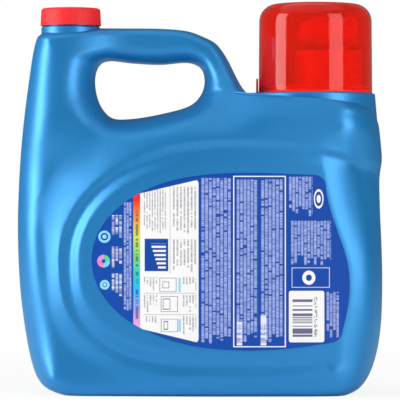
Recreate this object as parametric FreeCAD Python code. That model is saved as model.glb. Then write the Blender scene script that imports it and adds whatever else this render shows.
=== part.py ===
import FreeCAD
import Part
import math
import os

from FreeCAD import Vector

# Large laundry detergent bottle that lies on its side to dispense: a blow-moulded bottle with a
# through handle, a small screwed vent cap, a press tap and a measuring cup that covers the tap.
# Millimetres. +Z is up, the label with the small print faces -Y, and the vent cap is on the -X side.
# The origin is on the floor, under the middle of the bottle's bounding box.

os.makedirs("parts", exist_ok=True)

# Bottle, overall
HALF_WIDTH = 131.0
HALF_DEPTH = 54.0
WALL = 1.4
HANDLE_TOP = 262.0
SHOULDER_Z = 210.5
BASE_DROP = 1.1
FLOOR_THICKNESS = 1.8

# Clearances
FIT = 0.3
SEAL_FIT = 0.1
RUNNING_FIT = 0.08

# Recess moulded up into the base
RECESS_HEIGHT = 2.4
RECESS_HALF_LENGTH = 88.0
RECESS_HALF_WIDTH = 31.0
RECESS_CORNER = 22.0
RECESS_EDGE = 1.2

# Handle and its hole
HANDLE_HEIGHT = 23.6
HANDLE_HALF_DEPTH = 15.6
HOLE_LEFT = -75.5
HOLE_RIGHT = 3.3
HOLE_TOP = HANDLE_TOP - HANDLE_HEIGHT
HOLE_BOTTOM = 196.9

# Label panel, and the raised band and groove moulded round it
PANEL_X = 21.4
PANEL_Z = 95.7
PANEL_BEND_RADIUS = 1000.0
GROOVE_LEFT = 121.3
GROOVE_RIGHT = 161.0
GROOVE_ABOVE = 85.3
GROOVE_BELOW = 81.0
GROOVE_DEPTH = 2.0
GROOVE_WALL = 4.0
GROOVE_FLOOR = 6.6
GROOVE_WIDTH = 15.6
CREST_RAISE = 0.6

# How far the band's crest lies behind the panel on the column's side
TERRACE_DROP = 4.2

# Cheek to the right of the label: how steeply it falls away, and how much more with each mm
CHEEK_SLOPE = 0.2
CHEEK_BEND = 0.012

# Deck that the cup stands on: a round boss drawn out towards the handle
CUP_RIM_RADIUS = 40.8
CUP_X = HALF_WIDTH - CUP_RIM_RADIUS - 7.1
DECK_TOP = SHOULDER_Z + 4.7
DECK_RADIUS = CUP_RIM_RADIUS + 2.0
DECK_TAIL_X = CUP_X - 45.1
DECK_TAIL_RADIUS = 17.0
DECK_FLARE = 0.085
DECK_DEPTH = 24.0
DECK_EDGE = 1.6

# Vent at the top of the column: collar, screwed neck and cap
VENT_X = 38.0 - HALF_WIDTH
COLLAR_RADIUS = 21.2
COLLAR_TOP = HANDLE_TOP + 1.2
COLLAR_HEIGHT = 24.0
COLLAR_EDGE = 1.2
VENT_NECK_RADIUS = 18.2
VENT_BORE_RADIUS = 16.4
VENT_NECK_TOP = COLLAR_TOP + 10.4
THREAD_ROOM = 1.2
LINER_THICKNESS = 0.9
VENT_CEILING = VENT_NECK_TOP + 2 * SEAL_FIT + LINER_THICKNESS
VENT_CAP_RADIUS = 21.8
VENT_CAP_TAPER = 0.5
VENT_CAP_BEVEL = 1.3
VENT_CAP_TOP = VENT_CEILING + 1.6
VENT_CAP_LIFT = 0.7

# Tap neck, under the measuring cup
TAP_X = CUP_X + 9.5
TAP_NECK_RADIUS = 19.6
TAP_BORE_RADIUS = 17.4
TAP_NECK_TOP = DECK_TOP + 14.4

# Seat that the cup snaps on, with the finger latch beside it
SEAT_FLOOR = DECK_TOP + SEAL_FIT
SEAT_WEB = 1.4
SEAT_FLANGE = 1.1
SEAT_RIM_HEIGHT = 5.2
SEAT_RIM_WALL = 1.6
SNAP_BEAD = 0.55
LATCH_THICKNESS = 1.3
LATCH_HALF_WIDTH = 6.0
LATCH_HEIGHT = 10.5
LATCH_GAP = 0.5

# Measuring cup, upside down over the tap
CUP_HEIGHT = 62.9
CUP_RIM_Z = SEAT_FLOOR + SEAT_FLANGE + 2 * SEAL_FIT
CUP_TOP = CUP_RIM_Z + CUP_HEIGHT
CUP_TOP_RADIUS = CUP_RIM_RADIUS - 0.5
CUP_CORNER = 12.5
CUP_WALL = 1.5

# Tap: shroud over the neck, riser and level channel
GASKET_THICKNESS = 1.2
TAP_SHROUD_RADIUS = 24.0
TAP_SHROUD_TOP = TAP_NECK_TOP + 16.4
TAP_SHROUD_EDGE = 3.0
TAP_WALL = 1.6
CHANNEL_Z = TAP_SHROUD_TOP + 12.6
CHANNEL_RADIUS = 11.7
CHANNEL_BORE = 8.0
CHANNEL_LEFT = TAP_X - 10.6
CHANNEL_RIGHT = TAP_X + 20.0
RISER_X = TAP_X + 6.8
RISER_RADIUS = 7.6
RISER_BORE = 5.4
GUIDE_LEFT = CHANNEL_LEFT + 8.6
GUIDE_RIGHT = GUIDE_LEFT + 3.2
VALVE_SEAT_X = CHANNEL_RIGHT - 5.6
VALVE_SEAT_THICKNESS = 1.6
VALVE_SEAT_BORE = 5.6
MOUTH_ROOM = 1.2
MARK_X = CHANNEL_RIGHT - 5.2
MARK_Z = CHANNEL_Z + 5.8
MARK_RADIUS = 3.3
MARK_BORE = 2.2
MARK_STAND = 9.6
MARK_DEPTH = 0.8

# Button, stem, spring and seals of the tap
BUTTON_TRAVEL = 4.0
BUTTON_TIP = CHANNEL_LEFT - 11.3
BUTTON_END = GUIDE_LEFT - BUTTON_TRAVEL - FIT
BUTTON_RADIUS = 10.0
BUTTON_WALL = 1.4
BUTTON_SOCKET_RADIUS = 3.8
BUTTON_SOCKET_DEPTH = 9.0
STEM_RADIUS = 2.4
STEM_LEFT = BUTTON_TIP + BUTTON_WALL + 1.0
STEM_SEAL_WIDTH = 1.8
STEM_SEAL_RADIUS = 4.2
VALVE_HEAD_RADIUS = 7.4
VALVE_HEAD_THICKNESS = 1.6
VALVE_SEAL_THICKNESS = 1.0
SPRING_WIRE = 0.9
SPRING_RADIUS = 5.4
SPRING_TURNS = 3

# Labels
LABEL_THICKNESS = 0.15
LABEL_LIFT = 0.12
LABEL_LEFT = [
    (79.5, 156.2),
    (50.0, 157.4),
    (21.4, 157.5),
    (-2.5, 155.6),
    (-25.6, 150.6),
    (-50.2, 138.8),
    (-68.5, 121.0),
    (-76.1, 99.5),
    (-72.0, 78.0),
    (-62.6, 64.2),
    (-50.2, 53.6),
    (-32.6, 44.4),
    (-14.4, 38.1),
    (12.3, 33.8),
    (38.9, 32.8),
    (68.0, 34.8),
    (91.0, 38.0),
]
LABEL_BOTTOM_CORNER = [(91.0, 38.0), (97.6, 40.8), (100.3, 47.0)]
LABEL_RIGHT = [
    (100.3, 47.0),
    (103.6, 61.0),
    (105.3, 80.0),
    (103.0, 98.0),
    (97.3, 115.0),
    (91.6, 132.0),
    (88.6, 147.5),
]
LABEL_TOP_CORNER = [(88.6, 147.5), (86.2, 153.8), (79.5, 156.2)]

# Steps of the skin between two ribs, and across it from the handle hole to the outline
RIB_STEPS = 6
CROSS_STEPS = 70
FINE_STEPS = 540
PATCHES_ROUND = 11

# Ribs round the column's lower corner, where the outline's rounding follows its nearest point
CORNER_RIBS = (34, 44)


def rise(value, start, end):
    """0 before start, 1 after end, and smooth between them."""
    share = min(max((value - start) / (end - start), 0.0), 1.0)
    return share * share * (3.0 - 2.0 * share)


def along(value, table):
    """Smooth curve through (position, height) pairs whose positions go up."""
    last = len(table) - 1
    if value <= table[0][0]:
        return table[0][1]
    if value >= table[last][0]:
        return table[last][1]
    i = next(k for k in range(last) if table[k + 1][0] >= value)
    (x0, y0), (x1, y1) = table[i], table[i + 1]
    before, after = table[max(i - 1, 0)], table[min(i + 2, last)]
    width = x1 - x0
    slope0 = (y1 - before[1]) / (x1 - before[0]) * width
    slope1 = (after[1] - y0) / (after[0] - x0) * width
    t = (value - x0) / width
    flat = y0 * (1 + 2 * t) * (1 - t) ** 2 + y1 * t * t * (3 - 2 * t)
    return flat + slope0 * t * (1 - t) ** 2 + slope1 * t * t * (t - 1)


# Half depth of the bottle away from its edges, against height: in the handle's column, between it
# and the cup, and under the cup
COLUMN_DEPTHS = [
    (0, HALF_DEPTH - 4),
    (14, HALF_DEPTH - 4.5),
    (34, HALF_DEPTH - 8),
    (60, HALF_DEPTH - 9.8),
    (110, HALF_DEPTH - 10.3),
    (135, HALF_DEPTH - 13),
    (158, HALF_DEPTH - 16),
    (185, 36),
    (208, 32),
    (HANDLE_TOP - 25, 26.5),
    (HANDLE_TOP, 23.5),
]
NECK_DEPTHS = [
    (0, HALF_DEPTH - 2),
    (24, HALF_DEPTH),
    (SHOULDER_Z - 45, HALF_DEPTH),
    (SHOULDER_Z - 26, HALF_DEPTH - 6),
    (SHOULDER_Z - 6, 37),
    (SHOULDER_Z + 11.5, 27),
    (HANDLE_TOP - 23, 19),
    (HANDLE_TOP, HANDLE_HALF_DEPTH),
]
CUP_DEPTHS = [
    (0, HALF_DEPTH - 2),
    (24, HALF_DEPTH),
    (SHOULDER_Z - 35.5, HALF_DEPTH),
    (SHOULDER_Z - 18, HALF_DEPTH - 1.5),
    (SHOULDER_Z - 5, DECK_RADIUS + 5.2),
    (SHOULDER_Z + 11.5, DECK_RADIUS - 2.8),
    (HANDLE_TOP, HANDLE_HALF_DEPTH),
]

# Where the cheek starts, against height
CHEEK_EDGE = [
    (0, 96),
    (28, 98),
    (47, 102.2),
    (61, 105.3),
    (80, 106.9),
    (98, 104.6),
    (115, 99),
    (132, 93.2),
    (147, 89.5),
    (165, 86),
    (200, 80),
]

# Width of the raised band against the direction from the panel's middle, in degrees
BAND_WIDTHS = [
    (0, 28),
    (60, 30),
    (100, 30),
    (135, 38),
    (160, 25),
    (180, 11),
    (205, 14),
    (235, 18),
    (270, 9),
    (360, 7),
]


def outside_groove(x, z):
    """How far a point lies outside the oval that the groove follows."""
    dx, dz = x - PANEL_X, z - PANEL_Z
    side = GROOVE_LEFT if dx < 0 else GROOVE_RIGHT
    height, power = (GROOVE_BELOW, 2.6) if dz < 0 else (GROOVE_ABOVE, 2.1)
    share = (abs(dx / side) ** power + abs(dz / height) ** power) ** (1 / power)
    return math.hypot(dx, dz) * (1 - 1 / max(share, 0.3))


def panel_drop(x):
    """How far the bent panel lies behind its middle."""
    return PANEL_BEND_RADIUS - math.sqrt(PANEL_BEND_RADIUS ** 2 - (x - PANEL_X) ** 2)


def free_half_depth(x, z):
    """Half depth of the plain body, without the panel and the band round it."""
    column = along(z, COLUMN_DEPTHS)
    neck = along(z, NECK_DEPTHS)
    cup = along(z, CUP_DEPTHS)
    depth = column + (neck - column) * rise(x, -80, 5)
    depth += (cup - depth) * rise(x, 12, 50)
    handle = rise(z, HOLE_TOP - 16, HOLE_TOP + 2) * rise(x, -96, -46) * (1 - rise(x, -11, 8))
    depth += (HANDLE_HALF_DEPTH - depth) * handle
    return depth - panel_drop(x) * (1 - rise(z, 152, 204)) - cheek_drop(x, z)


def cheek_drop(x, z):
    """How far the cheek falls behind the panel's bend."""
    beyond = min(max(x - along(z, CHEEK_EDGE), 0.0), 26.0)
    soft = beyond * rise(beyond, 0.0, 2.5)
    return (CHEEK_SLOPE * soft + CHEEK_BEND * beyond ** 2) * (1 - rise(z, 150, 190))


def half_depth(x, z):
    """Half depth of the whole skin: body, raised band, groove and label panel."""
    free = free_half_depth(x, z)
    outside = outside_groove(x, z)
    panel = HALF_DEPTH - panel_drop(x)
    direction = math.atan2(z - PANEL_Z, x - PANEL_X)
    right_end = 1 - rise(x, 84, 108) * (1 - rise(z, 140, 152))
    panel -= cheek_drop(x, z)
    left = rise(-math.cos(direction), 0.25, 0.9)
    crest = panel + CREST_RAISE * right_end * (1 - left) - TERRACE_DROP * left
    if outside > 0:
        width = along(math.degrees(direction) % 360, BAND_WIDTHS)
        return free + (crest - free) * max(1 - outside / width, 0.0) ** 1.35
    floor = crest - GROOVE_DEPTH * (1 - 0.6 * left) * right_end
    depth = crest + (floor - crest) * rise(-outside, 0.0, GROOVE_WALL)
    return depth + (panel - floor) * rise(-outside, GROOVE_FLOOR, GROOVE_WIDTH)


# The handle hole's edge, clockwise from its left
HOLE_EDGE = [
    (HOLE_LEFT, HOLE_TOP - 15.8),
    (HOLE_LEFT + 2.4, HOLE_TOP - 4.4),
    (HOLE_LEFT + 10.1, HOLE_TOP),
    (-47.4, HOLE_TOP - 1.7),
    (-28.4, HOLE_TOP - 2.6),
    (HOLE_RIGHT - 12.8, HOLE_TOP - 1.2),
    (HOLE_RIGHT - 2.9, HOLE_TOP - 5.0),
    (HOLE_RIGHT, HOLE_TOP - 14.3),
    (HOLE_RIGHT - 3.0, HOLE_BOTTOM + 16.7),
    (HOLE_RIGHT - 11.8, HOLE_BOTTOM + 8.9),
    (-28.4, HOLE_BOTTOM + 3.4),
    (-49.3, HOLE_BOTTOM),
    (HOLE_LEFT + 12.0, HOLE_BOTTOM + 0.9),
    (HOLE_LEFT + 3.3, HOLE_BOTTOM + 11.0),
]

# Ribs of the skin, clockwise: outline x, outline z, where the rib meets the hole's edge as a place
# in the list above, radius, squareness and inner crease of the outline's rounding, and radius of
# the hole's rounding
RIBS = [
    (8.4 - HALF_WIDTH, HANDLE_TOP - 34.6, 0.2, 22, 2.1, 0, 24),
    (11.8 - HALF_WIDTH, HANDLE_TOP - 13.8, 0.9, 19, 2.1, 0, 22),
    (16.8 - HALF_WIDTH, HANDLE_TOP - 4.0, 1.5, 10.4, 2.2, 0, 17),
    (33.4 - HALF_WIDTH, HANDLE_TOP - 0.9, 1.9, 7.6, 2.2, 0, 14),
    (-75.8, HANDLE_TOP, 2.3, 6.6, 2.2, 0, 13),
    (-52.1, HANDLE_TOP, 2.9, 6.6, 2.2, 0, 13),
    (-28.4, HANDLE_TOP - 0.2, 3.9, 6.6, 2.2, 0, 13),
    (-9.5, HANDLE_TOP - 1.9, 4.7, 6.6, 2.2, 0, 13),
    (2.4, HANDLE_TOP - 6.1, 5.4, 6.6, 2.2, 0, 12),
    (11.8, HANDLE_TOP - 11.3, 6.0, 6.6, 2.2, 0, 12),
    (19.4, HANDLE_TOP - 21.7, 6.5, 7.1, 2.2, 0, 12),
    (26.1, HANDLE_TOP - 35.1, 6.9, 7.6, 2.2, 0, 13),
    (31.7, 217.5, 7.15, 8.5, 2.3, 0, 14),
    (39.8, SHOULDER_Z + 0.9, 7.35, 11, 2.5, 0, 15),
    (58.7, SHOULDER_Z, 7.55, 10, 2.4, 0, 16),
    (HALF_WIDTH - 45.7, SHOULDER_Z - 0.5, 7.75, 10, 2.3, 0, 17),
    (HALF_WIDTH - 23.9, SHOULDER_Z - 1.9, 7.9, 12, 2.3, 0, 17),
    (HALF_WIDTH - 9.8, SHOULDER_Z - 5.4, 8.05, 18, 2.3, 0, 17),
    (HALF_WIDTH - 3.3, SHOULDER_Z - 15.3, 8.2, 29, 2.1, 0, 17),
    (HALF_WIDTH - 1.2, 181.9, 8.35, 31, 2.0, 0, 17),
    (HALF_WIDTH - 0.1, 167.7, 8.55, 32, 2.0, 0, 17),
    (HALF_WIDTH - 1.8, 154.4, 8.75, 28, 2.1, 0, 17),
    (HALF_WIDTH - 1.6, 132.6, 9.0, 19, 2.2, 0, 17),
    (HALF_WIDTH - 0.5, 106.1, 9.25, 16, 2.3, 0, 17),
    (HALF_WIDTH, 77.7, 9.45, 15, 2.3, 0, 17),
    (HALF_WIDTH - 1.1, 47.4, 9.65, 16, 2.3, 0, 17),
    (HALF_WIDTH - 5.4, 23.7, 9.8, 17, 2.3, 0, 17),
    (HALF_WIDTH - 13.1, 7.6, 9.9, 15, 2.5, 0, 17),
    (HALF_WIDTH - 24.9, 0.2, 10.0, 12, 4.0, 0, 17),
    (HALF_WIDTH - 41, -BASE_DROP, 10.1, 10.4, 6.0, 0, 17),
    (56.8, -BASE_DROP, 10.35, 10.4, 6.0, 0, 17),
    (18.9, -BASE_DROP, 10.65, 10.4, 6.0, 0, 17),
    (-18.9, -BASE_DROP, 10.95, 10.4, 6.0, 0, 17),
    (-56.8, -BASE_DROP, 11.3, 10.4, 6.0, 0, 17),
    (43.8 - HALF_WIDTH, -BASE_DROP, 11.6, 10.4, 6.0, 0, 17),
    (28.7 - HALF_WIDTH, 0.8, 11.8, 14, 3.6, 0, 17),
    (17.8 - HALF_WIDTH, 6.4, 12.0, 18, 2.5, 0, 18),
    (11.3 - HALF_WIDTH, 18.0, 12.15, 21, 2.2, 0, 19),
    (5.9 - HALF_WIDTH, 41.7, 12.35, 23, 2.1, 0, 20),
    (1.6 - HALF_WIDTH, 75.8, 12.6, 20, 2.1, 0, 21),
    (-HALF_WIDTH, 111.8, 12.9, 18, 2.1, 0, 22),
    (0.4 - HALF_WIDTH, 142.1, 13.15, 21, 2.1, 0, 23),
    (2.1 - HALF_WIDTH, 172.4, 13.45, 24, 2.1, 0, 24),
    (4.9 - HALF_WIDTH, 200.8, 13.75, 25, 2.1, 0, 25),
]


def closed_value(place, columns):
    """Values at a place on the smooth closed curves through columns of numbers one apart."""
    count = len(columns[0])
    k = math.floor(place)
    t = place - k
    weights = (
        (-t + 2 * t * t - t ** 3) / 2,
        (2 - 5 * t * t + 3 * t ** 3) / 2,
        (t + 4 * t * t - 3 * t ** 3) / 2,
        (t ** 3 - t * t) / 2,
    )
    return [sum(w * column[(k + n - 1) % count] for n, w in enumerate(weights)) for column in columns]


def round_over(distance, radius, power, crease=0.0):
    """Share of the full depth at a distance in from an edge that is rounded over a radius."""
    whole = 1 - crease
    share = min(max(distance / radius, 0.0), 1.0) * whole
    return ((1 - (1 - share) ** power) / (1 - crease ** power)) ** (1 / power)


def near_edge(x, z, edge):
    """Distance from a line of (place, x, z) points, and the place of its nearest point."""
    best = (math.inf, 0.0)
    for (place, x0, z0), (next_place, x1, z1) in zip(edge, edge[1:]):
        dx, dz = x1 - x0, z1 - z0
        t = ((x - x0) * dx + (z - z0) * dz) / (dx * dx + dz * dz)
        t = min(max(t, 0.0), 1.0)
        gap = math.hypot(x - x0 - dx * t, z - z0 - dz * t)
        best = min(best, (gap, place + (next_place - place) * t))
    return best


def even_steps(points, count):
    """Points a like distance apart along a line of close points."""
    reach = [0.0]
    for start, end in zip(points, points[1:]):
        reach.append(reach[-1] + start.distanceToPoint(end))
    result, k = [], 0
    for n in range(count + 1):
        goal = reach[-1] * n / count
        while k < len(points) - 2 and reach[k + 1] < goal:
            k += 1
        share = (goal - reach[k]) / (reach[k + 1] - reach[k])
        result.append(points[k] + (points[k + 1] - points[k]) * share)
    return result


def skin_points():
    """Rows of points of the front skin, one row a rib, from the handle hole to the outline."""
    hole = list(zip(*HOLE_EDGE))
    ribs = list(zip(*RIBS))
    places = list(enumerate(list(ribs[2]) + [RIBS[0][2] + len(HOLE_EDGE)]))
    first, last = CORNER_RIBS
    steps = [first + 0.1 * n for n in range(10 * (last - first) + 1)]
    corner = [(step, *closed_value(step, ribs[:2])) for step in steps]
    rows = []
    for k in range(len(RIBS) * RIB_STEPS):
        place = k / RIB_STEPS
        x, z, _, outer_round, power, crease, inner_round = closed_value(place, ribs)
        outer = Vector(x, 0, z)
        x, z = closed_value(along(place, places), hole)
        inner = Vector(x, 0, z)
        ahead = closed_value(place + 0.01, ribs[:2])
        run = Vector(ahead[0] - outer.x, 0, ahead[1] - outer.z).normalize()
        span = outer - inner
        length = span.Length
        square = max(abs(span.cross(run).y) / length, 0.55)
        near = rise(place, first, first + 2) * (1 - rise(place, last - 3, last))
        row = []
        for j in range(FINE_STEPS + 1):
            share = (1 - math.cos(math.pi * j / FINE_STEPS)) / 2
            point = inner + span * share
            edge = round_over(length * (1 - share) * square, outer_round, power, max(crease, 0.0))
            if near > 0:
                gap, spot = near_edge(point.x, point.z, corner)
                _, _, _, corner_round, power_there, _, _ = closed_value(spot, ribs)
                edge += (round_over(gap, corner_round, power_there) - edge) * near
            edge *= round_over(length * share, inner_round, 2.1)
            depth = half_depth(point.x, point.z)
            row.append(Vector(point.x, -depth * edge, point.z))
        rows.append(even_steps(row, CROSS_STEPS))
    return rows


def ring_points(rows):
    """Whole turns across the skin: hole, front, outline, back, and on to the hole."""
    return [row + [Vector(p.x, -p.y, p.z) for p in row[-2:0:-1]] for row in rows]


def every_second(grid):
    return [row[::2] for row in grid[::2]]


def sunk(grid, depth):
    """The same grid moved into the wall by a depth, square to the skin."""
    rows, columns = len(grid), len(grid[0])
    result = []
    for i in range(rows):
        row = []
        for j in range(columns):
            round_way = grid[(i + 1) % rows][j] - grid[i - 1][j]
            cross_way = grid[i][(j + 1) % columns] - grid[i][j - 1]
            normal = round_way.cross(cross_way).normalize()
            row.append(grid[i][j] - normal * depth)
        result.append(row)
    return result


def skin_solid(grid):
    """Closed solid under a smooth surface whose poles are the grid's points."""
    rows, columns = len(grid), len(grid[0])
    surface = Part.BSplineSurface()
    surface.buildFromPolesMultsKnots(
        grid,
        [1] * (rows + 1),
        [1] * (columns + 1),
        [float(k) for k in range(rows + 1)],
        [float(k) for k in range(columns + 1)],
        True,
        True,
        3,
        3,
    )
    faces = []
    for i in range(PATCHES_ROUND):
        for j in range(2):
            patch = surface.copy()
            start, end = rows * i / PATCHES_ROUND, rows * (i + 1) / PATCHES_ROUND
            patch.segment(start, end, columns * j / 2, columns * (j + 1) / 2)
            faces.append(patch.toShape())
    shell = Part.makeShell(faces)
    shell.sewShape()
    return Part.makeSolid(shell)


def post(radius, x, bottom, top):
    """Upright cylinder."""
    return Part.makeCylinder(radius, top - bottom, Vector(x, 0, bottom))


def bar(radius, left, right, z=CHANNEL_Z):
    """Cylinder along X."""
    return Part.makeCylinder(radius, right - left, Vector(left, 0, z), Vector(1, 0, 0))


def block(left, right, half_width, bottom, top):
    size = Vector(right - left, 2 * half_width, top - bottom)
    return Part.makeBox(size.x, size.y, size.z, Vector(left, -half_width, bottom))


def lathed(profile, x):
    """Solid turned about an upright axis from (radius, height) corners."""
    corners = [Vector(x + radius, 0, z) for radius, z in profile]
    face = Part.Face(Part.makePolygon(corners + corners[:1]))
    return face.revolve(Vector(x, 0, 0), Vector(0, 0, 1), 360)


def turned(profile, z=CHANNEL_Z):
    """Solid turned about an axis along X from (place along X, radius) corners."""
    corners = [Vector(x, 0, z + radius) for x, radius in profile]
    face = Part.Face(Part.makePolygon(corners + corners[:1]))
    return face.revolve(Vector(0, 0, z), Vector(1, 0, 0), 360)


def rounded_at(shape, radius, z):
    """Round every edge that lies level at a height."""
    level = [e for e in shape.Edges if abs(e.BoundBox.ZMin - z) + abs(e.BoundBox.ZMax - z) < 0.02]
    return shape.makeFillet(radius, level)


def deck(inset, top, bottom):
    """Round boss drawn out to a smaller round at the handle's side, flaring downwards."""
    height = top - bottom
    wires = []
    for grow, z in ((0.0, top), (height * DECK_FLARE, bottom)):
        big, small = DECK_RADIUS + grow - inset, DECK_TAIL_RADIUS + grow - inset
        lean = math.acos((big - small) / (CUP_X - DECK_TAIL_X))
        across, over = math.sin(lean), -math.cos(lean)
        big_touch = Vector(CUP_X + big * over, big * across, z)
        small_touch = Vector(DECK_TAIL_X + small * over, small * across, z)
        far_big, far_small = Vector(CUP_X + big, 0, z), Vector(DECK_TAIL_X - small, 0, z)
        big_end = Vector(big_touch.x, -big_touch.y, z)
        small_end = Vector(small_touch.x, -small_touch.y, z)
        edges = [
            Part.Arc(big_end, far_big, big_touch).toShape(),
            Part.makeLine(big_touch, small_touch),
            Part.Arc(small_touch, far_small, small_end).toShape(),
            Part.makeLine(small_end, big_end),
        ]
        wires.append(Part.Wire(edges))
    return Part.makeLoft(wires, True, True)


def recess_solid(grow, bottom, top):
    """Rounded block for the recess in the base, grown sideways all round."""
    length, width = RECESS_HALF_LENGTH + grow, RECESS_HALF_WIDTH + grow
    slab = block(-length, length, width, bottom, top)
    upright = [e for e in slab.Edges if abs(e.BoundBox.ZLength - (top - bottom)) < 0.01]
    return rounded_at(slab.makeFillet(RECESS_CORNER + grow, upright), RECESS_EDGE, top)


def make_bottle():
    grid = ring_points(skin_points())
    room = 3 * HALF_WIDTH
    above_floor = block(-room, room, room, 0, room)
    outer = skin_solid(grid).common(above_floor)
    hump = recess_solid(FLOOR_THICKNESS, 0.0, RECESS_HEIGHT + FLOOR_THICKNESS)
    inner = skin_solid(every_second(sunk(grid, WALL)))
    inner = inner.common(above_floor.translated(Vector(0, 0, FLOOR_THICKNESS))).cut(hump)
    inner_shell = inner.Shells[0].copy()
    inner_shell.reverse()
    hollow = Part.makeSolid(Part.makeCompound([outer.Shells[0], inner_shell]))

    deck_bottom = DECK_TOP - DECK_DEPTH
    pad = rounded_at(deck(0.0, DECK_TOP, deck_bottom), DECK_EDGE, DECK_TOP)
    pad_inside = deck(WALL, DECK_TOP - WALL, deck_bottom - 1)
    collar_bottom = COLLAR_TOP - COLLAR_HEIGHT
    collar = post(COLLAR_RADIUS, VENT_X, collar_bottom, COLLAR_TOP)
    collar = rounded_at(collar, COLLAR_EDGE, COLLAR_TOP)
    collar_inside = post(COLLAR_RADIUS - WALL, VENT_X, collar_bottom - 1, COLLAR_TOP - WALL)
    vent_neck = post(VENT_NECK_RADIUS, VENT_X, COLLAR_TOP - WALL / 2, VENT_NECK_TOP)
    vent_bore = post(VENT_BORE_RADIUS, VENT_X, COLLAR_TOP - 2 * WALL, VENT_NECK_TOP + 1)
    tap_neck = post(TAP_NECK_RADIUS, TAP_X, DECK_TOP - WALL / 2, TAP_NECK_TOP)
    tap_bore = post(TAP_BORE_RADIUS, TAP_X, DECK_TOP - 2 * WALL, TAP_NECK_TOP + 1)
    recess = recess_solid(0.0, -2.0, RECESS_HEIGHT)

    body = hollow.fuse([pad, collar, vent_neck, tap_neck])
    return body.cut([pad_inside, collar_inside, vent_bore, tap_bore, recess])


def make_label(side):
    """Thin film on the bent panel, on the -Y side for -1 and on the +Y side for 1."""
    edges = []
    for corners in (LABEL_LEFT, LABEL_BOTTOM_CORNER, LABEL_RIGHT, LABEL_TOP_CORNER):
        points = [Vector(x, 0, z) for x, z in corners]
        if len(points) == 3:
            edges.append(Part.Arc(*points).toShape())
        else:
            curve = Part.BSplineCurve()
            curve.interpolate(points)
            edges.append(curve.toShape())
    outline = Part.Face(Part.Wire(edges))
    slab = outline.extrude(Vector(0, side * 2 * HALF_DEPTH, 0))
    axis_y = side * (HALF_DEPTH - PANEL_BEND_RADIUS)
    height = 3 * PANEL_Z

    def drum(lift):
        radius = PANEL_BEND_RADIUS + LABEL_LIFT + lift
        return Part.makeCylinder(radius, height, Vector(PANEL_X, axis_y, -PANEL_Z / 2))

    return slab.common(drum(LABEL_THICKNESS).cut(drum(0.0)))


def make_vent_cap():
    bottom = COLLAR_TOP + VENT_CAP_LIFT
    inside = VENT_NECK_RADIUS + THREAD_ROOM + FIT
    top_radius = VENT_CAP_RADIUS - VENT_CAP_TAPER
    profile = [
        (inside, bottom),
        (VENT_CAP_RADIUS, bottom),
        (top_radius, VENT_CAP_TOP - VENT_CAP_BEVEL),
        (top_radius - VENT_CAP_BEVEL, VENT_CAP_TOP),
        (0, VENT_CAP_TOP),
        (0, VENT_CEILING),
        (inside, VENT_CEILING),
    ]
    return lathed(profile, VENT_X)


def make_vent_cap_liner():
    return post(VENT_NECK_RADIUS + THREAD_ROOM, VENT_X, VENT_CEILING - LINER_THICKNESS, VENT_CEILING)


def cup_shell(inset):
    """Cup's outside, or its inside when inset by the wall."""
    top = CUP_TOP - inset
    rim, crown = CUP_RIM_RADIUS - inset, CUP_TOP_RADIUS - inset
    profile = [(0, CUP_RIM_Z), (rim, CUP_RIM_Z), (crown, top), (0, top)]
    return rounded_at(lathed(profile, CUP_X), CUP_CORNER - inset, top)


def make_measuring_cup():
    return cup_shell(0.0).cut(cup_shell(CUP_WALL))


def make_cup_seat_ring():
    flange_top = SEAT_FLOOR + SEAT_FLANGE
    web_top = SEAT_FLOOR + SEAT_WEB
    rim_top = SEAT_FLOOR + SEAT_RIM_HEIGHT
    rim = CUP_RIM_RADIUS - CUP_WALL - FIT - SNAP_BEAD
    bead_low, bead_high = rim_top - 2.6, rim_top - 1.0
    profile = [
        (0, SEAT_FLOOR),
        (CUP_RIM_RADIUS, SEAT_FLOOR),
        (CUP_RIM_RADIUS, flange_top),
        (rim, flange_top),
        (rim, bead_low),
        (rim + SNAP_BEAD, (bead_low + bead_high) / 2),
        (rim, bead_high),
        (rim, rim_top),
        (rim - SEAT_RIM_WALL, rim_top),
        (rim - SEAT_RIM_WALL, web_top),
        (0, web_top),
    ]
    latch_right = CUP_X - CUP_RIM_RADIUS - LATCH_GAP
    latch_left = latch_right - LATCH_THICKNESS
    tongue = block(latch_left, CUP_X - rim, LATCH_HALF_WIDTH, SEAT_FLOOR, flange_top)
    latch = block(latch_left, latch_right, LATCH_HALF_WIDTH, SEAT_FLOOR, SEAT_FLOOR + LATCH_HEIGHT)
    corners = [e for e in latch.Edges if e.BoundBox.ZMin > SEAT_FLOOR + 1 and e.BoundBox.XLength > 0.1]
    latch = latch.makeFillet(3.0, corners)
    ring = lathed(profile, CUP_X).fuse([tongue, latch])
    return ring.cut(post(TAP_NECK_RADIUS + FIT, TAP_X, SEAT_FLOOR - 1, rim_top))


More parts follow.
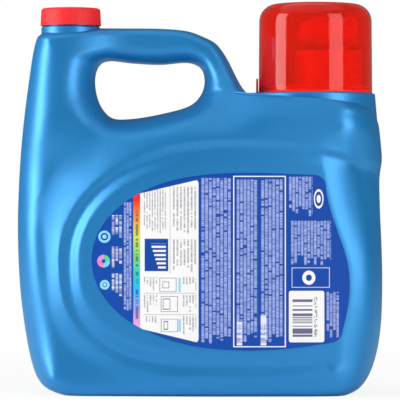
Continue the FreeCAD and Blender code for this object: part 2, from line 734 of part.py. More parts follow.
def make_tap_body():
    shroud_bottom = SEAT_FLOOR + SEAT_WEB + FIT
    ceiling = TAP_NECK_TOP + GASKET_THICKNESS + 2 * SEAL_FIT
    root = TAP_SHROUD_TOP - TAP_SHROUD_EDGE
    shroud = post(TAP_SHROUD_RADIUS, TAP_X, shroud_bottom, TAP_SHROUD_TOP)
    shroud = rounded_at(shroud, TAP_SHROUD_EDGE, TAP_SHROUD_TOP)
    channel = bar(CHANNEL_RADIUS, CHANNEL_LEFT, CHANNEL_RIGHT)
    riser = post(RISER_RADIUS, RISER_X, root, CHANNEL_Z)
    spine = block(CHANNEL_LEFT + 3, RISER_X, TAP_WALL, root, CHANNEL_Z)
    forwards = Vector(0, -1, 0)
    mark = Part.makeCylinder(MARK_RADIUS, MARK_STAND, Vector(MARK_X, 0, MARK_Z), forwards)
    solid = shroud.fuse([channel, riser, spine, mark])

    seat_left = VALVE_SEAT_X - VALVE_SEAT_THICKNESS
    chamber_top = root - TAP_WALL + TAP_SHROUD_EDGE / 2
    seal_left = GUIDE_RIGHT - STEM_SEAL_WIDTH - SEAL_FIT
    return solid.cut([
        post(TAP_NECK_RADIUS + FIT, TAP_X, shroud_bottom - 1, ceiling),
        post(TAP_BORE_RADIUS, TAP_X, ceiling - 1, chamber_top),
        post(RISER_BORE, RISER_X, chamber_top - 1, CHANNEL_Z),
        bar(BUTTON_RADIUS + FIT, CHANNEL_LEFT - 1, GUIDE_LEFT),
        bar(STEM_RADIUS + RUNNING_FIT, GUIDE_LEFT - 1, GUIDE_RIGHT + 1),
        bar(STEM_SEAL_RADIUS + SEAL_FIT, seal_left, GUIDE_RIGHT + 1),
        bar(CHANNEL_BORE, GUIDE_RIGHT, seat_left),
        bar(VALVE_SEAT_BORE, seat_left - 1, VALVE_SEAT_X + 1),
        bar(VALVE_HEAD_RADIUS + MOUTH_ROOM, VALVE_SEAT_X, CHANNEL_RIGHT + 1),
        Part.makeCylinder(MARK_BORE, 2, Vector(MARK_X, MARK_DEPTH - MARK_STAND, MARK_Z), forwards),
    ])


def make_tap_gasket():
    bottom = TAP_NECK_TOP + SEAL_FIT
    ring = post(TAP_NECK_RADIUS, TAP_X, bottom, bottom + GASKET_THICKNESS)
    return ring.cut(post(TAP_BORE_RADIUS, TAP_X, bottom - 1, bottom + GASKET_THICKNESS + 1))


def domed(inset, right):
    """Button's outside, or its inside when inset by the wall."""
    centre, radius = BUTTON_TIP + BUTTON_RADIUS, BUTTON_RADIUS - inset
    ball = Part.makeSphere(radius, Vector(centre, 0, CHANNEL_Z))
    dome = ball.common(bar(BUTTON_RADIUS + 1, BUTTON_TIP - 1, centre))
    return dome.fuse(bar(radius, centre, right)).removeSplitter()


def make_tap_button():
    socket_end = BUTTON_TIP + BUTTON_WALL + BUTTON_SOCKET_DEPTH
    shell = domed(0.0, BUTTON_END).cut(domed(BUTTON_WALL, BUTTON_END + 1))
    socket = bar(BUTTON_SOCKET_RADIUS, BUTTON_TIP + BUTTON_WALL / 2, socket_end)
    hole = bar(STEM_RADIUS + RUNNING_FIT, STEM_LEFT - RUNNING_FIT, BUTTON_END + 1)
    return shell.fuse(socket).cut(hole)


def make_valve_stem():
    head_left = VALVE_SEAT_X + VALVE_SEAL_THICKNESS + 2 * SEAL_FIT
    head_right = head_left + VALVE_HEAD_THICKNESS
    profile = [
        (STEM_LEFT, 0),
        (STEM_LEFT, STEM_RADIUS),
        (head_left, STEM_RADIUS),
        (head_left, VALVE_HEAD_RADIUS),
        (head_right, VALVE_HEAD_RADIUS - VALVE_HEAD_THICKNESS / 4),
        (head_right, 0),
    ]
    return turned(profile)


def make_valve_seal():
    left = VALVE_SEAT_X + SEAL_FIT
    ring = bar(VALVE_HEAD_RADIUS, left, left + VALVE_SEAL_THICKNESS)
    return ring.cut(bar(STEM_RADIUS + RUNNING_FIT, left - 1, left + VALVE_SEAL_THICKNESS + 1))


def make_stem_seal():
    right = GUIDE_RIGHT - SEAL_FIT
    left = GUIDE_RIGHT - STEM_SEAL_WIDTH
    ring = bar(STEM_SEAL_RADIUS, left, right)
    return ring.cut(bar(STEM_RADIUS + RUNNING_FIT, left - 1, right + 1))


def make_return_spring():
    """Coil of round wire between the button's socket and the guide."""
    left = BUTTON_TIP + BUTTON_WALL + BUTTON_SOCKET_DEPTH + FIT + SPRING_WIRE / 2
    length = GUIDE_LEFT - FIT - SPRING_WIRE / 2 - left
    steps, sides = 16 * SPRING_TURNS, 8
    stretch = 3 / (2 + math.cos(2 * math.pi / sides))
    grid = []
    for k in range(steps + 1):
        turn = 2 * math.pi * SPRING_TURNS * k / steps
        outwards = Vector(0, math.cos(turn), math.sin(turn))
        centre = Vector(left + length * k / steps, 0, CHANNEL_Z) + outwards * SPRING_RADIUS
        ring = []
        for n in range(sides):
            angle = 2 * math.pi * n / sides
            swing = outwards * math.cos(angle) + Vector(1, 0, 0) * math.sin(angle)
            ring.append(centre + swing * (SPRING_WIRE / 2 * stretch))
        grid.append(ring)
    surface = Part.BSplineSurface()
    surface.buildFromPolesMultsKnots(
        grid,
        [4] + [1] * (steps - 3) + [4],
        [1] * (sides + 1),
        [float(k) for k in range(steps - 1)],
        [float(k) for k in range(sides + 1)],
        False,
        True,
        3,
        3,
    )
    tube = surface.toShape()
    rims = [e for e in tube.Edges if e.isClosed() and e.Length < 2 * math.pi * SPRING_WIRE]
    shell = Part.makeShell([tube] + [Part.Face(Part.Wire([e])) for e in rims])
    shell.sewShape()
    return Part.makeSolid(shell)


pieces = {
    "bottle": make_bottle(),
    "back_label": make_label(-1),
    "front_label": make_label(1),
    "vent_cap": make_vent_cap(),
    "vent_cap_liner": make_vent_cap_liner(),
    "measuring_cup": make_measuring_cup(),
    "cup_seat_ring": make_cup_seat_ring(),
    "tap_body": make_tap_body(),
    "tap_gasket": make_tap_gasket(),
    "tap_button": make_tap_button(),
    "valve_stem": make_valve_stem(),
    "valve_seal": make_valve_seal(),
    "stem_seal": make_stem_seal(),
    "return_spring": make_return_spring(),
}
for name, shape in pieces.items():
    shape.exportStep("parts/" + name + ".step")
    print(name, shape.isValid(), len(shape.Solids), round(shape.Volume / 1000, 2))
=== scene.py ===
import math

import bmesh
import bpy
from mathutils import Matrix, Vector


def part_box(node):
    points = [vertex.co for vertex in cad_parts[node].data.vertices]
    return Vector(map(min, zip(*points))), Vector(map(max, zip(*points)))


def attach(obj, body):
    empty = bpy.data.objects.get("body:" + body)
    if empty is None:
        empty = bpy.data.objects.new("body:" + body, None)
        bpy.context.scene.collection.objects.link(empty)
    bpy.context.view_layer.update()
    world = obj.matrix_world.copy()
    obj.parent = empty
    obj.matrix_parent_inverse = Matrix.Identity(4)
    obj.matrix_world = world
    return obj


# Looks of a large laundry detergent bottle with a vent cap, a press tap and a measuring cup.
# Metres, and mm on the labels. +Z is up, and the small-print label faces -Y, towards the camera.

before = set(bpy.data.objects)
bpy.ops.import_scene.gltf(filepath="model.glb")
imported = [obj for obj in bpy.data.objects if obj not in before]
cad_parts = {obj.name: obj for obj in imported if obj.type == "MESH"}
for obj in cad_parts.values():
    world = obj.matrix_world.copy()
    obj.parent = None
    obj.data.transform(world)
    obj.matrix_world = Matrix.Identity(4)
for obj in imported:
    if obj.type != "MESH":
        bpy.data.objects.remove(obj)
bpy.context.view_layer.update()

MM = 0.001

cap_low, cap_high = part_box("vent_cap")
cup_low, cup_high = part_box("measuring_cup")
VENT_AXIS = ((cap_low + cap_high) / 2).x


# Shader maths

class Value:
    """A socket of a node tree, with the arithmetic of its Math nodes."""

    def __init__(self, nodes, socket):
        self.nodes = nodes
        self.socket = socket

    def math(self, operation, *others):
        return self.nodes.node("Math", {"operation": operation}, [self, *others])

    def __add__(self, other):
        return self.math("ADD", other)

    def __sub__(self, other):
        return self.math("SUBTRACT", other)

    def __mul__(self, other):
        return self.math("MULTIPLY", other)

    def __truediv__(self, other):
        return self.math("DIVIDE", other)

    def __rsub__(self, other):
        return self.nodes.node("Math", {"operation": "SUBTRACT"}, [other, self])

    __radd__ = __add__
    __rmul__ = __mul__

    def above(self, edge):
        return self.math("GREATER_THAN", edge)

    def below(self, edge):
        return self.math("LESS_THAN", edge)

    def within(self, low, high):
        return self.above(low) * self.below(high)

    def floor(self):
        return self.math("FLOOR")

    def part(self):
        return self.math("FRACT")

    def size(self):
        return self.math("ABSOLUTE")

    def squared(self):
        return self.math("POWER", 2.0)

    def root(self):
        return self.math("SQRT")

    def larger(self, other):
        return self.math("MAXIMUM", other)

    def smaller(self, other):
        return self.math("MINIMUM", other)


class Nodes:
    """The node tree of a material or of the world."""

    def __init__(self, owner):
        owner.use_nodes = True
        self.tree = owner.node_tree

    def node(self, kind, settings=None, inputs=(), output=0):
        made = self.tree.nodes.new("ShaderNode" + kind)
        for key, value in (settings or {}).items():
            setattr(made, key, value)
        pairs = inputs.items() if isinstance(inputs, dict) else enumerate(inputs)
        for key, value in pairs:
            if isinstance(value, Value):
                self.link(value, made.inputs[key])
            else:
                made.inputs[key].default_value = value
        return Value(self, made.outputs[output])

    def link(self, value, socket):
        self.tree.links.new(value.socket, socket)

    def ray(self, kind):
        """1 for rays of one kind, such as Camera or Shadow, and 0 for the others."""
        return self.node("LightPath", output=f"Is {kind} Ray")


class Finish(Nodes):
    """A material of this object: its shader, and the nodes that feed it."""

    def __init__(self, name, **settings):
        self.material = bpy.data.materials.new(name)
        super().__init__(self.material)
        self.shader = self.tree.nodes["Principled BSDF"]
        for socket, value in settings.items():
            self.shader.inputs[socket.replace("_", " ")].default_value = value

    def place(self):
        """Place on the piece, in metres."""
        return self.node("TexCoord", output="Object")

    def axes(self, place):
        """The x, y and z of a place."""
        split = self.node("SeparateXYZ", inputs=[place])
        return [Value(self, axis) for axis in split.socket.node.outputs]

    def mix(self, share, low, high):
        """Colour between two colours."""
        low, high = (c if isinstance(c, Value) else (*c, 1.0) for c in (low, high))
        settings = {"data_type": "RGBA"}
        return self.node("Mix", settings, {0: share, 6: low, 7: high}, output=2)

    def noise(self, place, scale, detail=2.0):
        return self.node("TexNoise", inputs={"Vector": place, "Scale": scale, "Detail": detail})

    def clouded(self, shade, share, place, scale, detail=2.0):
        """A shade that drifts softly between itself and a share of itself."""
        return self.mix(self.noise(place, scale, detail), shade, tuple(c * share for c in shade))

    def speckle(self, across, along):
        """Random value of each cell of a grid."""
        corner = [v.floor() if isinstance(v, Value) else v for v in (across, along)]
        cell = self.node("CombineXYZ", inputs=[*corner, 0.0])
        return self.node("TexWhiteNoise", {"noise_dimensions": "2D"}, {"Vector": cell})

    def ramp(self, share, stops, interpolation="LINEAR"):
        """Colour at a share of the way through (position, colour) stops."""
        made = self.node("ValToRGB")
        ramp = made.socket.node.color_ramp
        ramp.interpolation = interpolation
        for k, (position, shade) in enumerate(stops):
            stop = ramp.elements[k] if k < 2 else ramp.elements.new(1.0)
            stop.position = position
            stop.color = (*shade, 1.0)
        self.link(share, made.socket.node.inputs[0])
        return made

    def bump(self, height, distance, strength=1.0):
        inputs = {"Height": height, "Distance": distance, "Strength": strength}
        self.feed("Normal", self.node("Bump", inputs=inputs))

    def feed(self, socket, value):
        self.link(value, self.shader.inputs[socket])

    def give_way(self, share, other):
        """Show another shader in place of this one, by a share."""
        own = Value(self, self.shader.outputs[0])
        both = self.node("MixShader", inputs=[share, own, other])
        self.link(both, self.tree.nodes["Material Output"].inputs["Surface"])

    def paint(self, *nodes):
        for name in nodes:
            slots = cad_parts[name].data.materials
            slots.clear()
            slots.append(self.material)
        return self


def total(masks):
    first, *others = masks
    return sum(others, first)


# Plastics, rubber and steel

BOTTLE_BLUE = (0.008, 0.196, 0.490)
PEARL_TINT = (0.65, 0.95, 1.0, 1.0)
SEAM_HALF_WIDTH = 0.35 * MM

CAP_RED = (0.80, 0.017, 0.020)
GRIP_RIBS = 72.0
GRIP_LOW = cap_low.z + 1.6 * MM
GRIP_HIGH = cap_high.z - 1.3 * MM

TAP_RED = (0.70, 0.010, 0.006)
BUTTON_RED = (0.72, 0.006, 0.0)

CUP_RED = (0.76, 0.055, 0.026)
CUP_SHADOW = (0.92, 0.16, 0.12, 1.0)
CUP_FROST_LOW = cup_high.z - 1.2 * MM

FOAM_WHITE = (0.80, 0.80, 0.77)
RUBBER_BLACK = (0.03, 0.03, 0.03)
STEM_WHITE = (0.82, 0.82, 0.79)
STEEL_GREY = (0.62, 0.63, 0.65)


def bottle_finish():
    """Blow-moulded polyethylene with a soft pearl, a faint grain and the mould's parting line."""
    gloss = {"Metallic": 0.4, "Specular_IOR_Level": 1.0, "Specular_Tint": PEARL_TINT}
    blue = Finish("bottle_plastic", **gloss)
    place = blue.place()
    x, y, z = blue.axes(place)
    blue.feed("Base Color", blue.clouded(BOTTLE_BLUE, 1.07, place, 9.0, 3.0))
    grain = blue.noise(place, 1400.0, 1.0)
    blue.feed("Roughness", grain * 0.06 + 0.38)
    seam = 1.0 - (y.size() / SEAM_HALF_WIDTH).smaller(1.0)
    blue.bump(grain * 0.05 + seam * 0.5, 0.2 * MM, 0.6)
    return blue


def cap_finish():
    """Matt red plastic of the cap and the cup's seat. Only the cap, at -X, has grip ribs."""
    red = Finish("cap_plastic", Roughness=0.5, Specular_IOR_Level=0.3)
    place = red.place()
    x, y, z = red.axes(place)
    grain = red.noise(place, 900.0, 1.0)
    red.feed("Base Color", red.clouded(CAP_RED, 0.93, place, 30.0))
    turn = y.math("ARCTAN2", x - VENT_AXIS)
    grip = (turn * GRIP_RIBS).math("SINE") * z.within(GRIP_LOW, GRIP_HIGH) * x.below(0.0)
    red.bump(grain * 0.05 + grip * 0.5, 0.25 * MM, 0.5)
    return red


def tap_finish(name, shade):
    red = Finish(name, Roughness=0.32)
    place = red.place()
    red.feed("Base Color", red.clouded(shade, 0.9, place, 40.0))
    red.bump(red.noise(place, 700.0), 0.02 * MM, 0.4)
    return red


def cup_finish():
    """Tinted clear plastic of the measuring cup, with a polished wall and a frosted flat top."""
    gloss = {"Transmission_Weight": 0.85, "IOR": 1.2, "Coat_IOR": 1.18, "Coat_Roughness": 0.02}
    cup = Finish("cup_plastic", **gloss)
    place = cup.place()
    x, y, z = cup.axes(place)
    frosted = z.above(CUP_FROST_LOW)
    cup.feed("Roughness", frosted * 0.42 + 0.03)
    cup.feed("Coat Weight", 1.0 - frosted)
    cup.feed("Base Color", cup.clouded(CUP_RED, 0.95, place, 25.0))
    cup.bump(cup.noise(place, 60.0), 0.02 * MM, 0.3)
    clear = cup.node("BsdfTransparent", inputs={"Color": CUP_SHADOW})
    cup.give_way(cup.ray("Shadow"), clear)
    return cup


def plain_finish(name, shade, scale, **settings):
    plain = Finish(name, **settings)
    place = plain.place()
    plain.feed("Base Color", plain.clouded(shade, 0.88, place, scale))
    plain.bump(plain.noise(place, scale * 12), 0.03 * MM, 0.4)
    return plain


# Prints of the labels, in mm from the bottle's middle and from the floor

LABEL_BLUE = (0.002, 0.055, 0.325)
PAPER_WHITE = (0.82, 0.81, 0.80)

# How long a letter and a word are, how many words are gaps, and how ragged a column's foot is
LETTER, WORD = 0.55, 1.2
WORD_GAPS = 0.07
RAGGED = 7.0


class Film(Finish):
    """Printed film. Each print covers what was printed before it."""

    def __init__(self, name):
        super().__init__(name, Roughness=0.35, Specular_IOR_Level=0.25)
        place = self.place()
        x, y, z = self.axes(place)
        self.x, self.z = x / MM, z / MM
        self.colour = self.clouded(LABEL_BLUE, 1.12, place, 14.0)

    def ink(self, share, shade):
        self.colour = self.mix(share, self.colour, shade)

    def dry(self):
        self.feed("Base Color", self.colour)
        return self

    def box(self, left, right, low, high):
        return self.x.within(left, right) * self.z.within(low, high)

    def rounded(self, left, right, low, high, corner):
        """A filled box with round corners."""
        middle_x, middle_z = (left + right) / 2, (low + high) / 2
        over_x = ((self.x - middle_x).size() - ((right - left) / 2 - corner)).larger(0.0)
        over_z = ((self.z - middle_z).size() - ((high - low) / 2 - corner)).larger(0.0)
        return (over_x * over_x + over_z * over_z).below(corner * corner)

    def window(self, middle_x, middle_z, half_x, half_z, line=0.5):
        """The outline of a box."""
        across = ((self.x - middle_x) / half_x).size()
        along = ((self.z - middle_z) / half_z).size()
        return across.larger(along).within(1.0 - line / half_x, 1.0)

    def oval(self, middle_x, middle_z, half_x, half_z):
        """Distance from a middle, which is 1 at the edge of an oval."""
        across = (self.x - middle_x) / half_x
        along = (self.z - middle_z) / half_z
        return (across.squared() + along.squared()).root()

    def lines(self, left, right, low, high, pitch, seed, weight=0.76):
        """Columns of broken strokes, read from the bottle's side."""
        across = (self.x - left) / pitch
        column = across.floor()
        stroke = across.part().below(weight)
        letters = self.speckle(across + seed, self.z / LETTER)
        words = self.speckle(across + (seed + 40.0), self.z / WORD + column * 0.37)
        foot = self.speckle(across + (seed + 80.0), 0.0) * RAGGED + low
        printed = self.box(left, right, low, high) * stroke
        return printed * words.above(WORD_GAPS) * self.z.above(foot) * (letters * 0.6 + 0.4)


# Fine print on the blue field: left, right, low, high, pitch of the columns, and a seed
FIELD_PRINT = [
    (1.0, 22.2, 37.0, 154.0, 2.65, 0.0),
    (25.8, 40.6, 39.0, 153.0, 2.45, 11.0),
    (43.0, 58.6, 39.0, 153.0, 2.6, 23.0),
    (62.6, 79.0, 127.0, 155.0, 2.3, 31.0),
    (64.0, 92.0, 93.0, 124.0, 2.3, 37.0),
    (89.0, 98.0, 42.0, 74.0, 2.3, 43.0),
    (-53.5, -47.8, 56.0, 137.0, 1.9, 53.0),
]
FIELD_PALE = (0.36, 0.43, 0.74)

# Heavy print: broken strokes at the frame's foot, and lines beside the three discs
FRAME_STROKES = [(25.8, 29.6, 36.5, 53.0), (42.6, 46.6, 36.5, 58.0)]
DISC_PRINT = [
    (-62.0, -54.2, 70.0, 87.0, 2.6, 70.0),
    (-62.0, -54.2, 90.0, 106.0, 2.6, 90.0),
    (-62.0, -54.2, 109.0, 128.0, 2.6, 109.0),
]
HEAVY_PALE = (0.78, 0.80, 0.92)
FRAME_OUTER, FRAME_INNER = (23.3, 60.3, 35.2, 155.6), (24.1, 59.5, 36.0, 154.8)
FRAME_PALE = (0.72, 0.76, 0.92)

# White panel, whose top and foot slope towards the left, with its fine print and ruled lines
PANEL_LEFT, PANEL_RIGHT = -42.0, -1.0
PANEL_TOP, PANEL_TOP_SLOPE = 152.9, 0.235
PANEL_FOOT, PANEL_FOOT_SLOPE = 38.4, 0.24
PANEL_ROUNDED = (-60.0, PANEL_RIGHT, 38.5, 152.8, 2.6)
PANEL_PRINT = [
    (-39.5, -24.0, 113.5, 146.0, 1.85, 61.0),
    (-19.0, -2.6, 113.5, 148.0, 2.5, 63.0),
    (-19.0, -2.6, 88.0, 111.0, 2.5, 67.0),
    (-39.5, -29.5, 74.5, 84.5, 2.1, 69.0),
    (-39.5, -29.5, 59.5, 72.0, 2.1, 71.0),
    (-38.0, -29.5, 47.5, 57.0, 2.1, 73.0),
    (-12.0, -2.6, 74.5, 84.5, 2.2, 75.0),
    (-12.0, -2.6, 59.5, 72.0, 2.2, 77.0),
    (-12.0, -2.6, 44.0, 57.0, 2.2, 79.0),
]
PANEL_RULES = [
    (-21.2, -20.8, 87.0, 149.0), (-39.5, -3.0, 72.9, 73.3), (-39.5, -3.0, 57.9, 58.3),
]
PANEL_GREY = (0.30, 0.30, 0.34)

# Blue square with level bars, each longer than the one below
CHART_BOX = (-38.9, -22.3, 88.6, 111.4)
CHART_LOW, CHART_PITCH = 90.5, 2.9
CHART_BARS = (-37.0, -24.0, CHART_LOW, 108.0)
CHART_FIRST, CHART_GROWTH = -29.5, 0.9

# Three outlined vessels with a smaller outline in each, and water beside two of them. An outline
# is its middle's x and z, and its half width and half height.
VESSELS = [
    (-22.5, 79.0, 6.0, 5.0), (-21.5, 65.5, 6.0, 5.6), (-21.5, 50.5, 6.0, 4.6),
    (-24.0, 50.5, 1.6, 3.2), (-23.5, 65.5, 2.6, 4.0), (-24.0, 79.0, 2.4, 2.4),
]
VESSEL_GREY = (0.22, 0.24, 0.30)
WATER = [(-15.2, -13.4, 46.0, 55.0), (-15.2, -13.4, 74.0, 84.0)]
WATER_BLUE = (0.30, 0.58, 0.74)

# Stripe from pink at its foot to red, with dark marks on it
STRIPE_LOW, STRIPE_HIGH = 49.0, 143.0
STRIPE_BOX = (-46.9, PANEL_LEFT, STRIPE_LOW, STRIPE_HIGH)
STRIPE_SHADES = [
    (0.85, 0.35, 0.62), (0.33, 0.30, 0.68), (0.02, 0.42, 0.80), (0.03, 0.55, 0.45),
    (0.20, 0.60, 0.10), (0.62, 0.68, 0.04), (0.85, 0.28, 0.03), (0.80, 0.025, 0.02),
]
STRIPE_REACH = 0.95
STRIPE_MARKS = (-45.2, -43.4, 55.0, 132.0)
MARK_DARK = (0.03, 0.06, 0.16)

# At the right: an oval badge, a ring in a frame, and a white box with bars and a row of marks
BADGE = (83.4, 139.4, 3.4, 6.8)
RING_OUTER, RING_INNER = (64.4, 91.2, 77.0, 91.2), (64.9, 90.7, 77.5, 90.7)
RING_PALE = (0.55, 0.60, 0.85)
RING = (76.5, 84.0, 4.6, 5.0)
BAR_BOX = (62.4, 87.4, 38.6, 74.8, 1.6)
BARS, BAR_MARKS = (65.0, 79.0, 42.5, 70.5), (80.2, 82.4, 42.5, 70.5)
BAR_INK = (0.12, 0.13, 0.22)

# At the left: a ringed disc, a disc in four sectors, and a disc with a gap in it
UPPER_DISC, UPPER_BLUE = (-67.2, 112.8, 4.3, 4.3), (0.25, 0.62, 0.85)
WHEEL_X, WHEEL_Z, WHEEL_RADIUS = -67.8, 95.6, 4.5
WHEEL_SHADES = [(0.75, 0.20, 0.42), (0.20, 0.55, 0.85), (0.10, 0.55, 0.30), (0.70, 0.25, 0.60)]
LOWER_DISC, LOWER_BLUE = (-67.0, 79.0, 3.4, 3.4), (0.25, 0.65, 0.85)


def print_field(film):
    film.ink(total(film.lines(*column) for column in FIELD_PRINT), FIELD_PALE)
    heavy = total(film.box(*stroke) for stroke in FRAME_STROKES)
    heavy += total(film.lines(*column, weight=0.7) for column in DISC_PRINT)
    film.ink(heavy * (film.speckle(0.0, film.z / 1.9) * 0.7 + 0.3), HEAVY_PALE)
    film.ink(film.box(*FRAME_OUTER) - film.box(*FRAME_INNER), FRAME_PALE)


def print_panel(film):
    top = PANEL_TOP + (film.x - PANEL_RIGHT) * PANEL_TOP_SLOPE
    foot = PANEL_FOOT - (film.x - PANEL_RIGHT) * PANEL_FOOT_SLOPE
    panel = film.x.within(PANEL_LEFT, PANEL_RIGHT) * film.z.above(foot) * film.z.below(top)
    panel *= film.rounded(*PANEL_ROUNDED)
    film.ink(panel, PAPER_WHITE)
    fine = total(film.lines(*column, weight=0.5) for column in PANEL_PRINT)
    fine += total(film.box(*rule) for rule in PANEL_RULES) * 0.8
    film.ink(fine * panel, PANEL_GREY)

    film.ink(film.box(*CHART_BOX), LABEL_BLUE)
    steps = (film.z - CHART_LOW) / CHART_PITCH
    bars = steps.part().below(0.5) * film.x.above(CHART_FIRST - steps.floor() * CHART_GROWTH)
    film.ink(film.box(*CHART_BARS) * bars, PAPER_WHITE)

    film.ink(total(film.window(*vessel) for vessel in VESSELS) * panel, VESSEL_GREY)
    film.ink(total(film.box(*water) for water in WATER), WATER_BLUE)


def print_stripe(film):
    height = (film.z - STRIPE_LOW) / (STRIPE_HIGH - STRIPE_LOW)
    last = len(STRIPE_SHADES) - 1
    stops = [(STRIPE_REACH * k / last, shade) for k, shade in enumerate(STRIPE_SHADES)]
    film.ink(film.box(*STRIPE_BOX), film.ramp(height, stops))
    marks = film.speckle(3.0, film.z / 0.9).above(0.45) * film.box(*STRIPE_MARKS)
    film.ink(marks * 0.7, MARK_DARK)


def print_right(film):
    badge = film.oval(*BADGE)
    film.ink(badge.below(1.0), PAPER_WHITE)
    film.ink(badge.below(0.76), LABEL_BLUE)
    film.ink(badge.below(0.42), PAPER_WHITE)
    film.ink(film.box(*RING_OUTER) - film.box(*RING_INNER), RING_PALE)
    ring = film.oval(*RING)
    film.ink(ring.below(1.0), PAPER_WHITE)
    film.ink(ring.below(0.45), LABEL_BLUE)
    film.ink(film.rounded(*BAR_BOX), PAPER_WHITE)
    bars = film.speckle(5.0, film.z / 0.62).above(0.5) * film.box(*BARS)
    marks = film.speckle(film.x / 0.8, film.z / 1.0).above(0.5) * film.box(*BAR_MARKS)
    film.ink(bars + marks * 0.7, BAR_INK)


def print_discs(film):
    upper = film.oval(*UPPER_DISC)
    film.ink(upper.within(0.62, 1.0) + upper.below(0.36), UPPER_BLUE)
    lower = film.oval(*LOWER_DISC)
    film.ink(lower.below(1.0) * (1.0 - lower.within(0.35, 0.5)), LOWER_BLUE)
    wheel = film.oval(WHEEL_X, WHEEL_Z, WHEEL_RADIUS, WHEEL_RADIUS)
    turn = (film.z - WHEEL_Z).math("ARCTAN2", film.x - WHEEL_X) / math.tau + 0.5
    stops = [(k / len(WHEEL_SHADES), shade) for k, shade in enumerate(WHEEL_SHADES)]
    film.ink(wheel.within(0.3, 1.0), film.ramp(turn, stops, "CONSTANT"))


def back_label_finish():
    """Small-print label: blue field, white panel, colour stripe and plain marks at both ends."""
    film = Film("label_film")
    print_field(film)
    print_panel(film)
    print_stripe(film)
    print_right(film)
    print_discs(film)
    return film.dry()


ARCH = (20.0, 40.0, 95.0, 72.0)
ARCH_BLUE, HILL_BLUE = (0.02, 0.42, 0.80), (0.014, 0.15, 0.55)


def front_label_finish():
    """The other side's label: a light blue arch, edged in white, over a plain round hill."""
    film = Film("front_label_film")
    arch = film.oval(*ARCH)
    film.ink(arch.within(0.86, 1.0), ARCH_BLUE)
    film.ink(arch.within(1.0, 1.05), PAPER_WHITE)
    film.ink(arch.below(0.60), HILL_BLUE)
    return film.dry()


bottle_plastic = bottle_finish().paint("bottle")
back_label_finish().paint("back_label")
front_label_finish().paint("front_label")
cap_plastic = cap_finish().paint("vent_cap", "cup_seat_ring")
tap_finish("tap_plastic", TAP_RED).paint("tap_body")
tap_finish("button_plastic", BUTTON_RED).paint("tap_button")
cup_finish().paint("measuring_cup")
plain_finish("liner_foam", FOAM_WHITE, 60.0, Roughness=0.8).paint("vent_cap_liner")
rubber = plain_finish("seal_rubber", RUBBER_BLACK, 80.0, Roughness=0.6)
rubber.paint("tap_gasket", "valve_seal", "stem_seal")
plain_finish("stem_plastic", STEM_WHITE, 80.0, Roughness=0.4).paint("valve_stem")
steel = plain_finish("spring_steel", STEEL_GREY, 300.0, Roughness=0.25, Metallic=1.0)
steel.paint("return_spring")


def new_object(name, work, material):
    """Object of a finished bmesh."""
    mesh = bpy.data.meshes.new(name)
    work.to_mesh(mesh)
    work.free()
    mesh.materials.append(material)
    piece = bpy.data.objects.new(name, mesh)
    bpy.context.scene.collection.objects.link(piece)
    return piece


# Threads of the vent, which the built neck and cap leave plain

NECK_RADIUS = 18.2 * MM
CAP_INSIDE = 19.7 * MM
THREAD_STARTS = 2
THREAD_LEAD = 8.0 * MM
THREAD_DEPTH = 1.05 * MM
THREAD_SUNK = 0.15 * MM
THREAD_FOOT, THREAD_CREST = 0.85 * MM, 0.3 * MM
NECK_THREAD_LOW, NECK_THREAD_TURNS = cap_low.z + 1.3 * MM, 0.7
CAP_THREAD_LOW, CAP_THREAD_TURNS = cap_low.z + 3.3 * MM, 0.6
STEPS_A_TURN = 72


def thread_ridge(name, body, material, root, depth, low, turns, turn):
    """One start of a right-handed screw thread: a small profile spun up along the axis."""
    steps = round(STEPS_A_TURN * turns)
    profile = [(0.0, -THREAD_FOOT), (depth, -THREAD_CREST), (depth, THREAD_CREST), (0.0, THREAD_FOOT)]
    work = bmesh.new()
    corners = [work.verts.new((VENT_AXIS + root + out, 0.0, low + up)) for out, up in profile]
    face = work.faces.new(corners)
    cent = (VENT_AXIS, 0.0, 0.0)
    climb = (0.0, 0.0, THREAD_LEAD * turns / steps)
    bmesh.ops.spin(
        work, geom=[face, *face.edges, *face.verts], cent=cent, axis=(0.0, 0.0, 1.0), dvec=climb,
        angle=math.tau * turns, steps=steps, use_merge=False, use_duplicate=False,
    )
    bmesh.ops.rotate(work, verts=work.verts, cent=cent, matrix=Matrix.Rotation(turn, 3, "Z"))
    bmesh.ops.recalc_face_normals(work, faces=work.faces)
    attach(new_object(name, work, material), body)


for start in range(THREAD_STARTS):
    turn = math.tau * start / THREAD_STARTS
    thread_ridge(
        f"neck_thread_{start}", "bottle", bottle_plastic.material,
        NECK_RADIUS - THREAD_SUNK, THREAD_DEPTH, NECK_THREAD_LOW, NECK_THREAD_TURNS, turn,
    )
    thread_ridge(
        f"cap_thread_{start}", "vent_cap", cap_plastic.material,
        CAP_INSIDE + THREAD_SUNK, -THREAD_DEPTH, CAP_THREAD_LOW, CAP_THREAD_TURNS, turn,
    )


# Studio

FLOOR_SIZE = 6.0
FLOOR_GREY = (0.93, 0.93, 0.93, 1.0)
# The floor's own white that the camera sees, near the bottle and further out
GLOW_NEAR, GLOW_FAR = 0.2, 0.7
GLOW_LOW, GLOW_HIGH = 0.86, 1.0

# Level of the surroundings for plain rays and for gloss. The camera sees them as white.
SOFT_LEVEL, GLOSS_LEVEL = 0.18, 0.12

# Tall lamps at both sides of the camera, and a wide one overhead
MIDDLE = Vector((0.0, 0.0, 0.15))
LAMP_DISTANCE, LAMP_HEIGHT, LAMP_LENGTH = 1.25, 0.25, 1.6
LEFT_AZIMUTH, LEFT_WIDTH, LEFT_POWER = -76.0, 0.60, 27.0
RIGHT_AZIMUTH, RIGHT_WIDTH, RIGHT_POWER = 43.0, 0.62, 17.0
TOP_PLACE, TOP_SIZE, TOP_POWER = (-0.1, -0.1, 1.4), (1.9, 1.7), 8.0

# Level camera, which looks along +Y
CAMERA_DISTANCE = 2.179
CAMERA_HEIGHT = 0.1386
VIEW_WIDTH = 0.288
SENSOR_WIDTH = 36.0


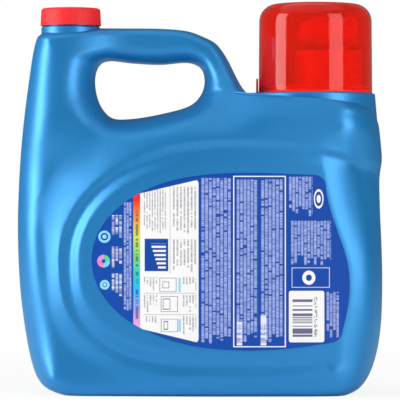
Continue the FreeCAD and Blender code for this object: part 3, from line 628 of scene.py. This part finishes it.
def make_floor():
    pale = Finish("pale_floor", Base_Color=FLOOR_GREY, Roughness=0.9, Specular_IOR_Level=0.0)
    x, y, z = pale.axes(pale.place())
    reach = (x * x + y * y).root()
    white = pale.node("MapRange", inputs=[reach, GLOW_NEAR, GLOW_FAR, GLOW_LOW, GLOW_HIGH])
    pale.give_way(pale.ray("Camera") * white, pale.node("Emission"))
    work = bmesh.new()
    bmesh.ops.create_grid(work, x_segments=1, y_segments=1, size=FLOOR_SIZE / 2)
    new_object("studio_floor", work, pale.material)


def make_world():
    """Dim soft surroundings that look white to the camera and through the cup."""
    world = bpy.data.worlds.new("studio")
    bpy.context.scene.world = world
    sky = Nodes(world)
    white = sky.ray("Camera").larger(sky.ray("Transmission"))
    level = sky.ray("Glossy") * (GLOSS_LEVEL - SOFT_LEVEL) + SOFT_LEVEL
    background = sky.tree.nodes["Background"]
    background.inputs["Color"].default_value = (1.0, 1.0, 1.0, 1.0)
    sky.link(white * (1.0 - level) + level, background.inputs["Strength"])


def soft_light(name, place, size, power):
    light = bpy.data.lights.new(name, "AREA")
    light.shape = "RECTANGLE"
    light.size, light.size_y = size
    light.energy = power
    lamp = bpy.data.objects.new(name, light)
    bpy.context.scene.collection.objects.link(lamp)
    lamp.location = place
    lamp.rotation_euler = (MIDDLE - Vector(place)).to_track_quat("-Z", "Y").to_euler()


def beside(azimuth):
    """Place of a lamp at an angle to the right of the camera, seen from the bottle."""
    turn = math.radians(azimuth)
    return (LAMP_DISTANCE * math.sin(turn), -LAMP_DISTANCE * math.cos(turn), LAMP_HEIGHT)


def make_camera():
    camera = bpy.data.cameras.new("camera")
    camera.sensor_width = SENSOR_WIDTH
    camera.lens = SENSOR_WIDTH * CAMERA_DISTANCE / VIEW_WIDTH
    view = bpy.data.objects.new("camera", camera)
    bpy.context.scene.collection.objects.link(view)
    view.location = (0.0, -CAMERA_DISTANCE, CAMERA_HEIGHT)
    view.rotation_euler = (math.radians(90.0), 0.0, 0.0)
    bpy.context.scene.camera = view


make_floor()
make_world()
soft_light("left_light", beside(LEFT_AZIMUTH), (LEFT_WIDTH, LAMP_LENGTH), LEFT_POWER)
soft_light("right_light", beside(RIGHT_AZIMUTH), (RIGHT_WIDTH, LAMP_LENGTH), RIGHT_POWER)
soft_light("top_light", TOP_PLACE, TOP_SIZE, TOP_POWER)
make_camera()
bpy.context.scene.view_settings.view_transform = "Standard"
